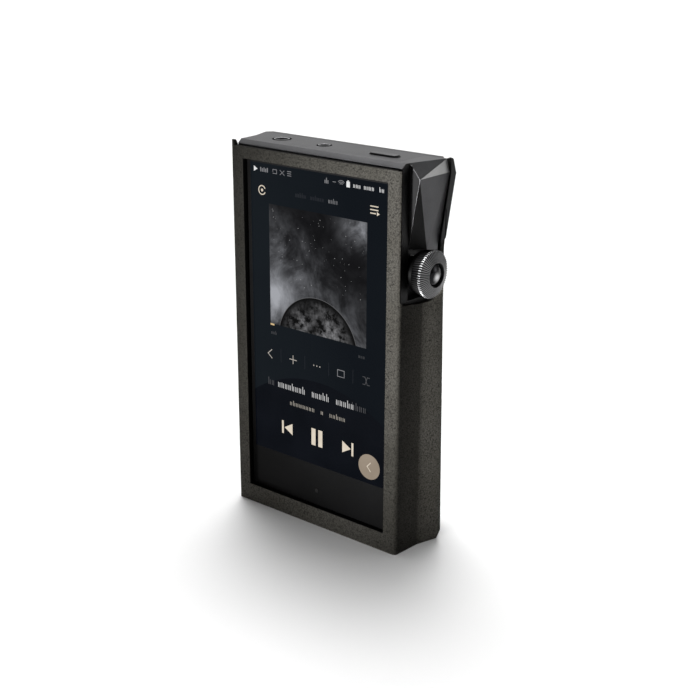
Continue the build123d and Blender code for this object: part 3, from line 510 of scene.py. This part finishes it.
def lathe(profile, turns, place, ripple=plain):
    """Surface turned about X and moved to a place; ripple is how far a row's point drops at an angle."""
    data = bmesh.new()
    rings = []
    for row, (x, radius) in enumerate(profile):
        if radius == 0:
            rings.append([data.verts.new((x * MM, 0, 0))])
            continue
        ring = []
        for step in range(turns):
            angle = 2 * math.pi * step / turns
            r = (radius - ripple(row, angle)) * MM
            ring.append(data.verts.new((x * MM, r * math.cos(angle), r * math.sin(angle))))
        rings.append(ring)
    for a, b in zip(rings, rings[1:]):
        for step in range(turns):
            after = (step + 1) % turns
            corners = [a[step % len(a)], a[after % len(a)], b[after % len(b)], b[step % len(b)]]
            data.faces.new(list(dict.fromkeys(corners)))
    bmesh.ops.recalc_face_normals(data, faces=data.faces)
    bmesh.ops.translate(data, verts=data.verts, vec=place)
    return data


# ================= screen drawings =================
# Outlines are in millimetres: across from the middle of the glass, and up from the case's base.

GLASS_LOW, GLASS_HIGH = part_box("cover_glass")
SCREEN_MIDDLE = (GLASS_LOW.x + GLASS_HIGH.x) / 2
SCREEN_WIDTH = 62.3
SCREEN_HALF = SCREEN_WIDTH / 2
SCREEN_HIGH = 134.3
SCREEN_LOW = SCREEN_HIGH - SCREEN_WIDTH * 16 / 9
ART_BASE = 74.9

# thickness of one layer of lit shapes, and the layers from the glass outwards
LAYER = 0.012 * MM
FIELD_LAYER, SHADE_LAYER, ART_LAYER, ART_DETAIL_LAYER, MARK_LAYER, OVER_MARK_LAYER = range(1, 7)


def bar(x0, x1, z0, z1, radius=0.0):
    """Outline of a rectangle, with rounded corners if they have a radius."""
    radius = min(radius, (x1 - x0) / 2, (z1 - z0) / 2)
    if radius <= 0:
        return [(x0, z0), (x1, z0), (x1, z1), (x0, z1)]
    steps = 4
    points = []
    for cx, cz, start in ((x1 - radius, z0 + radius, -90), (x1 - radius, z1 - radius, 0),
                          (x0 + radius, z1 - radius, 90), (x0 + radius, z0 + radius, 180)):
        for step in range(steps + 1):
            angle = math.radians(start + 90 * step / steps)
            points.append((cx + radius * math.cos(angle), cz + radius * math.sin(angle)))
    return points


def disc(x, z, radius, steps):
    """Outline of a disc, with so many corners."""
    turns = [2 * math.pi * step / steps for step in range(steps)]
    return [(x + radius * math.cos(turn), z + radius * math.sin(turn)) for turn in turns]


def stroke(x0, z0, x1, z1, width):
    """Outline of a straight line with a thickness."""
    length = math.hypot(x1 - x0, z1 - z0)
    dx, dz = (x1 - x0) / length * width / 2, (z1 - z0) / length * width / 2
    return [(x0 - dx + dz, z0 - dz - dx), (x1 + dx + dz, z1 + dz - dx),
            (x1 + dx - dz, z1 + dz + dx), (x0 - dx - dz, z0 - dz + dx)]


def path(points, width):
    """Outlines of the strokes that join a row of points."""
    return [stroke(*a, *b, width) for a, b in zip(points, points[1:])]


def arc(x, z, radius, start, end):
    """Points along an arc, every 15 degrees."""
    turns = [math.radians(angle) for angle in range(start, end + 1, 15)]
    return [(x + radius * math.cos(turn), z + radius * math.sin(turn)) for turn in turns]


def cap_of_disc(x, z, radius, floor, half):
    """Outline of the part of a disc that stands above a level, no wider than a half width."""
    steps = 64
    reach = min(half, math.sqrt(radius ** 2 - max(0.0, floor - z) ** 2))
    points = [(x - reach, floor), (x + reach, floor)]
    start = math.acos(reach / radius)
    for step in range(steps + 1):
        angle = start + (math.pi - 2 * start) * step / steps
        points.append((x + radius * math.cos(angle), max(floor, z + radius * math.sin(angle))))
    return points


def drawing(name, outlines, layer, material):
    """Thin lit shapes on the glass, from outlines in millimetres across and up."""
    data = bmesh.new()
    front = GLASS_LOW.y - layer * LAYER
    back = front + 0.8 * LAYER
    same_point = 1e-4
    for outline in outlines:
        clean = [p for i, p in enumerate(outline) if math.dist(p, outline[i - 1]) > same_point]
        near = [data.verts.new((SCREEN_MIDDLE + x * MM, front, z * MM)) for x, z in clean]
        far = [data.verts.new((SCREEN_MIDDLE + x * MM, back, z * MM)) for x, z in clean]
        data.faces.new(near)
        data.faces.new(far[::-1])
        for i in range(len(clean)):
            data.faces.new((near[i - 1], far[i - 1], far[i], near[i]))
    bmesh.ops.recalc_face_normals(data, faces=data.faces)
    finish_piece(name, data, "player", material, 20.0)


def words(lengths, centre, base, tall, pitch, rng):
    """Greeked line: each word is a row of plain thin upright marks of uneven height."""
    space = 1.7 * pitch
    total = sum(lengths) * pitch + space * (len(lengths) - 1)
    x = centre - total / 2
    thin = 0.19 * pitch
    marks = []
    for count in lengths:
        for _ in range(count):
            high = tall * rng.choice((0.68, 0.68, 0.72, 1.0))
            marks.append(bar(x + 0.10 * pitch, x + 0.10 * pitch + thin, base, base + high))
            marks.append(bar(x + 0.52 * pitch, x + 0.52 * pitch + thin, base, base + 0.66 * tall))
            x += pitch
        x += space
    return marks


WHITE = lit("lit_white", (0.70, 0.70, 0.70), (0.85, 0.85, 0.85))
GREY = lit("lit_grey", (0.17, 0.17, 0.18), (0.24, 0.24, 0.25))
DIM = lit("lit_dim", (0.055, 0.055, 0.06), (0.085, 0.085, 0.09))
FAINT = lit("lit_faint", (0.022, 0.024, 0.03), (0.034, 0.036, 0.042))
CREAM = lit("lit_cream", (0.66, 0.58, 0.47), (0.78, 0.70, 0.58))


def build_background():
    """Lit field of the screen, and the arch of a slightly different tone over most of it."""
    field = [bar(-SCREEN_HALF, SCREEN_HALF, SCREEN_LOW, SCREEN_HIGH)]
    drawing("screen_field", field, FIELD_LAYER, lit_field())
    arch = [cap_of_disc(0, 3.6, 53.2, SCREEN_LOW, SCREEN_HALF)]
    shade = lit("lit_shade", (0.0012, 0.0022, 0.0045), (0.0030, 0.0042, 0.0075), 14.0)
    drawing("screen_dome", arch, SHADE_LAYER, shade)


def build_cover_art(rng):
    """Square picture: clouds, a moon rising over its lower edge, and stars."""
    half, base, top = 22.5, ART_BASE, 120.0
    low = Vector((SCREEN_MIDDLE - half * MM, 0, base * MM))
    high = Vector((SCREEN_MIDDLE + half * MM, 0, top * MM))
    drawing("art_sky", [bar(-half, half, base, top)], ART_LAYER, lit_clouds(low, high))
    moon_z, moon_r = 70.0, 18.8
    centre = (SCREEN_MIDDLE, GLASS_LOW.y - ART_DETAIL_LAYER * LAYER, moon_z * MM)
    moon = [cap_of_disc(0, moon_z, moon_r, base, half)]
    drawing("art_moon", moon, ART_DETAIL_LAYER, lit_moon(centre, moon_r * MM))
    stars = []
    for _ in range(90):
        x, z, size = rng.uniform(-21.5, 21.5), rng.uniform(90.0, 119.0), rng.choice((0.07, 0.09, 0.16))
        stars.append(disc(x, z, size, 6))
    drawing("art_stars", stars, ART_DETAIL_LAYER, lit("lit_stars", (0.12, 0.12, 0.13), (0.5, 0.5, 0.5), 1.0))


def build_status_row(rng):
    """Row of small marks along the top: bright ones, and softer ones between them."""
    row, tall, pitch = 132.0, 1.7, 1.15
    play = [(-29.5, row - 1.0), (-27.7, row), (-29.5, row + 1.0)]
    battery = [bar(13.4, 14.9, row - 1.05, row + 0.95, 0.15), bar(13.8, 14.5, row + 1.0, row + 1.3)]
    level = words([3], 18.0, row - 0.85, tall, pitch, rng)
    clock = words([4, 2], 25.3, row - 0.85, tall, pitch, rng)
    drawing("status_marks", [play, *battery, *level, *clock], MARK_LAYER, WHITE)

    thin = 0.22
    soft = [bar(-26.4 + i * 0.8, -25.9 + i * 0.8, row - 0.8, row + 0.8 - 0.35 * (i % 2), 0.1) for i in range(5)]
    soft += path([(-20.3, row - 0.7), (-18.5, row - 0.7), (-18.5, row + 0.7), (-20.3, row + 0.7),
                  (-20.3, row - 0.1)], thin)
    soft += path([(-16.9, row - 0.8), (-14.9, row + 0.8)], thin)
    soft += path([(-16.9, row + 0.8), (-14.9, row - 0.8)], thin)
    soft += [bar(-13.5, -11.6, row + 0.7 - i * 0.75, row + 0.95 - i * 0.75, 0.1) for i in range(3)]
    soft += [bar(3.7 + i * 0.65, 4.1 + i * 0.65, row - 1.0, row + 0.2 + 0.8 * (i % 2), 0.1) for i in range(3)]
    soft += path([(7.4, row), (8.6, row)], 0.25)
    for radius in (0.7, 1.25, 1.8):
        soft += path(arc(11.1, row - 0.9, radius, 45, 135), 0.24)
    drawing("status_marks_soft", soft, MARK_LAYER, GREY)


def build_heading(rng):
    """Marks in the two upper corners, and the faint words between them."""
    badge = [disc(-25.7, 124.5, 0.55, 24)] + path(arc(-25.7, 124.5, 1.6, 30, 330), 0.38)
    lines = [bar(23.7, 27.2, z - 0.2, z + 0.2, 0.15) for z in (126.0, 124.8)] + [bar(23.7, 26.2, 123.4, 123.8, 0.15)]
    arrow = [(26.6, 122.9), (27.8, 123.6), (26.6, 124.3)]
    drawing("corner_marks", [*badge, *lines, arrow], MARK_LAYER, CREAM)
    drawing("format_words", words([5, 6], -3.2, 124.2, 1.8, 1.05, rng), MARK_LAYER, FAINT)
    drawing("format_words_lit", words([4], 7.5, 124.2, 1.8, 1.1, rng), MARK_LAYER, GREY)


def build_tool_row(rng):
    """Progress and times under the cover art, and the row of tool marks with its dividers."""
    drawing("progress_mark", [bar(-22.6, -20.7, ART_BASE - 0.65, ART_BASE)], MARK_LAYER,
            lit("lit_gold", (0.62, 0.45, 0.22), (0.70, 0.52, 0.28)))
    times = words([3], -20.9, 70.8, 1.4, 1.0, rng) + words([3], 20.6, 70.8, 1.4, 1.0, rng)
    drawing("time_marks", times, MARK_LAYER, DIM)
    tools = path([(-22.2, 64.5), (-24.1, 62.8), (-22.2, 61.2)], 0.32)
    tools += [bar(-13.4, -9.9, 62.75, 63.05), bar(-11.8, -11.5, 61.2, 64.6)]
    tools += [disc(x, 63.1, 0.26, 16) for x in (-1.6, -0.15, 1.3)]
    drawing("tool_marks", tools, MARK_LAYER, lit("lit_tool", (0.40, 0.37, 0.33), (0.5, 0.46, 0.42)))
    repeat = path([(12.7, 62.6), (12.7, 64.1), (9.6, 64.1), (9.6, 63.3)], 0.28)
    repeat += path([(9.6, 63.0), (9.6, 61.6), (12.7, 61.6), (12.7, 62.3)], 0.28)
    drawing("repeat_mark", repeat, MARK_LAYER, GREY)
    shuffle = path([(21.2, 61.4), (22.2, 61.4), (23.2, 64.2), (24.2, 64.2)], 0.26)
    shuffle += path([(21.2, 64.2), (22.2, 64.2), (23.2, 61.4), (24.2, 61.4)], 0.26)
    drawing("shuffle_mark", shuffle, MARK_LAYER, DIM)
    dividers = [bar(x - 0.07, x + 0.07, 60.5, 65.7) for x in (-17.6, -5.9, 5.5, 16.7)]
    drawing("dividers", dividers, MARK_LAYER, FAINT)


def build_titles(rng):
    """Large line whose ends fade out, and a smaller line under it."""
    base, tall, pitch = 50.4, 2.9, 1.72
    drawing("title_words", words([8, 5, 5], -1.0, base, tall, pitch, rng), MARK_LAYER,
            lit("lit_title", (0.5, 0.5, 0.5), (0.62, 0.62, 0.62)))
    fading = words([2], -22.6, base, tall, pitch, rng) + words([4], 19.6, base, tall, pitch, rng)
    drawing("title_words_fading", fading, MARK_LAYER, DIM)
    drawing("artist_words", words([8, 1, 5], 0.0, 44.6, 2.0, 1.55, rng), MARK_LAYER,
            lit("lit_artist", (0.29, 0.27, 0.235), (0.38, 0.35, 0.31)))


def build_transport():
    """Back, pause and forward, the round return key, and the faint home mark under the screen."""
    mid, tall, tip = 34.75, 2.6, 2.3
    back = [bar(-17.6, -16.7, mid - tall, mid + tall, 0.1), [(-12.3, mid - tip), (-12.3, mid + tip), (-16.3, mid)]]
    forward = [bar(16.2, 17.1, mid - tall, mid + tall, 0.1), [(11.9, mid - tip), (15.9, mid), (11.9, mid + tip)]]
    pause = [bar(x, x + 2.0, 31.4, 38.1, 0.1) for x in (-2.9, 0.4)]
    drawing("transport_marks", [*back, *forward, *pause], MARK_LAYER, CREAM)
    beige = lit("lit_beige", (0.29, 0.235, 0.18), (0.33, 0.27, 0.21), 6.0)
    drawing("return_key", [disc(24.4, 30.2, 4.85, 72)], MARK_LAYER, beige)
    drawing("return_arrow", path([(25.0, 31.9), (23.5, 30.2), (25.0, 28.5)], 0.3), OVER_MARK_LAYER, CREAM)
    home = lit("lit_home", (0.014, 0.014, 0.014), (0.02, 0.02, 0.02))
    drawing("home_mark", [disc(-0.6, 13.1, 0.75, 32)], FIELD_LAYER, home)


def build_screen():
    rng = random.Random(7)
    build_background()
    build_cover_art(rng)
    build_status_row(rng)
    build_heading(rng)
    build_tool_row(rng)
    build_titles(rng)
    build_transport()


# ================= guard =================

def build_facet(name, aim, material):
    """Thin inlay on the guard's facet whose normal is nearest to an aim, coloured with the painted light and shade
    of that facet.
    """
    margin, proud, thickness = 0.12 * MM, 0.008 * MM, 0.012 * MM
    aim = Vector(aim).normalized()
    data = bmesh.new()
    data.from_mesh(frame["nodes"]["knob_guard"].data)
    bmesh.ops.remove_doubles(data, verts=data.verts, dist=SAME_POINT)
    widest_angle = min(f.normal.angle(aim) for f in data.faces) + math.radians(1)
    least_area = (1 * MM) ** 2
    others = [f for f in data.faces if f.normal.angle(aim) > widest_angle or f.calc_area() < least_area]
    bmesh.ops.delete(data, geom=others, context="FACES")
    middle = sum((v.co for v in data.verts), Vector()) / len(data.verts)
    normal = data.faces[:][0].normal.copy()
    for vert in data.verts:
        inward = middle - vert.co
        inward -= normal * inward.dot(normal)
        vert.co += inward.normalized() * margin + normal * proud
    bmesh.ops.solidify(data, geom=data.faces[:], thickness=thickness)
    bmesh.ops.recalc_face_normals(data, faces=data.faces)
    finish_piece(name, data, "player", material, 32.0)


# ================= knob =================

# points round the crown and round the cap
CROWN_TURNS = 576
CAP_TURNS = 128

# kinds of rows in the crown's profile, and how deep each is cut, in millimetres
PLAIN_ROW, TOOTH_ROW, RIB_ROW = range(3)
RIPPLE_DEPTH = {PLAIN_ROW: 0.0, TOOTH_ROW: 0.46, RIB_ROW: 0.30}


def saw(angle, count):
    """Triangle wave between 0 and 1 round a circle."""
    phase = (angle * count / (2 * math.pi)) % 1.0
    return abs(2 * phase - 1)


def build_crown():
    """Ribbed rear cone, toothed rim, ribbed front cone and the crater for the cap; sizes in millimetres."""
    low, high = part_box("volume_knob")
    radius = (high.z - low.z) / 2 / MM
    centre = Vector((low.x, (low.y + high.y) / 2, (low.z + high.z) / 2))
    length = (high.x - low.x) / MM
    waist_end, rim_start, rim_end, cone_start = 4.9, length - 2.2, length - 1.5, length - 1.2
    profile = [(0.0, 0.0, PLAIN_ROW), (0.0, 5.0, PLAIN_ROW), (2.6, 5.0, PLAIN_ROW), (2.65, 6.7, PLAIN_ROW),
               (2.8, 6.9, PLAIN_ROW), (waist_end, 6.9, PLAIN_ROW)]
    rear_steps = 4
    for step in range(rear_steps + 1):
        t = step / rear_steps
        profile.append((waist_end + 0.05 + (rim_start - 0.1 - waist_end) * t, radius - 0.75 + 0.45 * t, RIB_ROW))
    profile += [(rim_start + 0.1, radius - 0.02, TOOTH_ROW), (rim_end - 0.1, radius, TOOTH_ROW),
                (rim_end, radius - 0.05, TOOTH_ROW), (rim_end + 0.15, radius - 0.35, TOOTH_ROW)]
    cone_steps = 8
    cone_end, start_r, end_r = length - 0.06, radius - 0.8, 4.6
    for step in range(cone_steps + 1):
        t = step / cone_steps
        profile.append((cone_start + (cone_end - cone_start) * t, start_r + (end_r - start_r) * t, RIB_ROW))
    crater_floor = length - 1.3
    profile += [(length, 4.42, PLAIN_ROW), (length, 4.3, PLAIN_ROW), (length - 0.1, 4.2, PLAIN_ROW),
                (crater_floor, 4.1, PLAIN_ROW), (crater_floor, 0.0, PLAIN_ROW)]

    def ripple(row, angle):
        _, row_radius, kind = profile[row]
        fade = row_radius / radius if kind == RIB_ROW else 1.0
        return RIPPLE_DEPTH[kind] * fade * saw(angle, TEETH)

    data = lathe([(x, r) for x, r, _ in profile], CROWN_TURNS, centre, ripple)
    knob = finish_piece("volume_knob_knurled", data, "knob", crown_metal(), 14.0)
    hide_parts("volume_knob")


def build_cap():
    """Domed cap with a short straight edge; sizes in millimetres."""
    low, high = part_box("knob_cap")
    radius = (high.z - low.z) / 2 / MM - 0.02
    length = (high.x - low.x) / MM
    edge = 0.42
    rise = length - edge
    ball = (radius ** 2 + rise ** 2) / (2 * rise)
    dome_radius = radius - 0.06
    profile = [(0.0, 0.0), (0.0, radius), (edge - 0.12, radius), (edge, dome_radius)]
    dome_steps = 24
    for step in range(1, dome_steps + 1):
        r = dome_radius * (1 - step / dome_steps)
        profile.append((length - ball + math.sqrt(ball ** 2 - r ** 2), r))
    data = lathe(profile, CAP_TURNS, Vector((low.x, (low.y + high.y) / 2, (low.z + high.z) / 2)))
    cap = finish_piece("knob_cap_dome", data, "knob", LIBRARY["cap_gloss"], 30.0)
    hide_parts("knob_cap")


# ================= stage, light and camera =================

def build_stage():
    data = bmesh.new()
    bmesh.ops.create_circle(data, cap_ends=True, segments=96, radius=9.0)
    mesh = bpy.data.meshes.new("floor")
    data.to_mesh(mesh)
    data.free()
    floor = bpy.data.objects.new("floor", mesh)
    floor.location.z = cad_low.z - 0.02 * MM
    bpy.context.scene.collection.objects.link(floor)
    s = Shader("floor")
    s.set(Base_Color=s.blend(s.noise(60.0, 2.0), (0.86, 0.86, 0.86), (0.88, 0.88, 0.88)))
    s.set(Roughness=0.9, Specular_IOR_Level=0.1)
    mesh.materials.append(s.material)


def build_sky():
    """Dim surroundings with soft bright patches: one high up, one low at the rear right, two wide ones behind."""
    world = bpy.data.worlds.new("studio")
    bpy.context.scene.world = world
    world.use_nodes = True
    sky = Nodes(world.node_tree)
    outward = sky.add("ShaderNodeTexCoord").outputs["Generated"]
    total = (0.10, 0.10, 0.10)
    for direction, sharpness, strength in (
            ((-0.32, 0.34, 0.88), 24.0, 15.0),
            ((0.76, 0.63, 0.15), 60.0, 4.5),
            ((-0.60, 0.75, 0.25), 8.0, 0.25),
            ((-0.50, 0.50, 0.70), 1.5, 0.36)):
        facing = sky.measure("DOT_PRODUCT", outward, Vector(direction).normalized())
        patch = sky.math("POWER", sky.math("MAXIMUM", facing, 0.0), sharpness)
        total = sky.vector("ADD", total, sky.scaled((strength,) * 3, patch))
    sky.put(sky.tree.nodes["Background"].inputs["Color"], total)


def build_lamp():
    data = bpy.data.lights.new("lamp", "SPOT")
    data.energy = LAMP_POWER
    data.spot_size = LAMP_CONE
    data.spot_blend = 1.0
    data.shadow_soft_size = LAMP_RADIUS
    lamp = bpy.data.objects.new("lamp", data)
    lamp.location = LAMP_PLACE
    lamp.rotation_euler = (LAMP_AIM - LAMP_PLACE).to_track_quat("-Z", "Y").to_euler()
    bpy.context.scene.collection.objects.link(lamp)


def build_camera():
    forward = Vector((-math.sin(CAMERA_YAW) * math.cos(CAMERA_PITCH),
                      math.cos(CAMERA_YAW) * math.cos(CAMERA_PITCH), -math.sin(CAMERA_PITCH)))
    right = Vector((math.cos(CAMERA_YAW), math.sin(CAMERA_YAW), 0))
    up = right.cross(forward)
    tilted = right * math.cos(CAMERA_ROLL) + up * math.sin(CAMERA_ROLL)
    top = -right * math.sin(CAMERA_ROLL) + up * math.cos(CAMERA_ROLL)
    data = bpy.data.cameras.new("camera")
    data.lens = CAMERA_LENS
    data.sensor_width = 36.0
    data.clip_start = 0.01
    data.clip_end = 100.0
    camera = bpy.data.objects.new("camera", data)
    turn = Matrix((tilted, top, -forward)).transposed().to_4x4()
    camera.matrix_world = Matrix.Translation(CAMERA_PLACE) @ turn
    bpy.context.scene.collection.objects.link(camera)
    bpy.context.scene.camera = camera


# ================= the whole model =================

for entry in frame["record"]["subparts"]:
    node = frame["nodes"][entry["node"]]
    for material_slot in node.material_slots:
        material_slot.material = LIBRARY[entry["material_slot"]]

for node, body, slot, width_mm, material in (
        ("case_front_wrap", "case", "leather", 0.4, leather("leather_front", front_edges)),
        ("case_back_panel", "case", "leather", 0.4, leather("leather_back", back_edges)),
        ("front_frame", "player", "anodised_dark", 0.12,
         blasted("frame_dark", (0.043, 0.043, 0.045), light_and_shade_tint=frame_flank)),
        ("knob_guard", "player", "anodised_dark", 0.1, None),
        ("rear_shell", "player", "anodised_black", 0.12, None),
        ("headphone_jack_ring", "player", "ring_metal", 0.08, banded_ring("ring_phone", "headphone_jack_ring")),
        ("balanced_jack_ring", "player", "ring_metal", 0.08, banded_ring("ring_balanced", "balanced_jack_ring"))):
    softened(node, body, slot, width_mm, material)

build_screen()
# inlays of painted light and shade on the guard, which is one anodised metal: painted shade on the dark and front
# facets, painted light on the upper one, a painted highlight on the bright one
for name, aim, material in (
        ("guard_dark_facet", (0.935, -0.300, -0.189),
         moulded("guard_painted_shade_dark", (0.004, 0.004, 0.004), 0.6, specular=0.05)),
        ("guard_front_facet", (0.0, -1.0, 0.0),
         moulded("guard_painted_shade_front", (0.0095, 0.0095, 0.0097), 0.6, specular=0.02)),
        ("guard_upper_facet", (0.752, -0.241, 0.612), blasted("guard_painted_light_upper", (0.100, 0.100, 0.103), 0.42)),
        ("guard_bright_facet", (0.959, -0.123, 0.256), blasted("guard_painted_highlight_bright", (0.23, 0.23, 0.228), 0.42))):
    build_facet(name, aim, material)
build_crown()
build_cap()
build_stage()
build_sky()
build_lamp()
build_camera()
bpy.context.scene.view_settings.view_transform = "Standard"
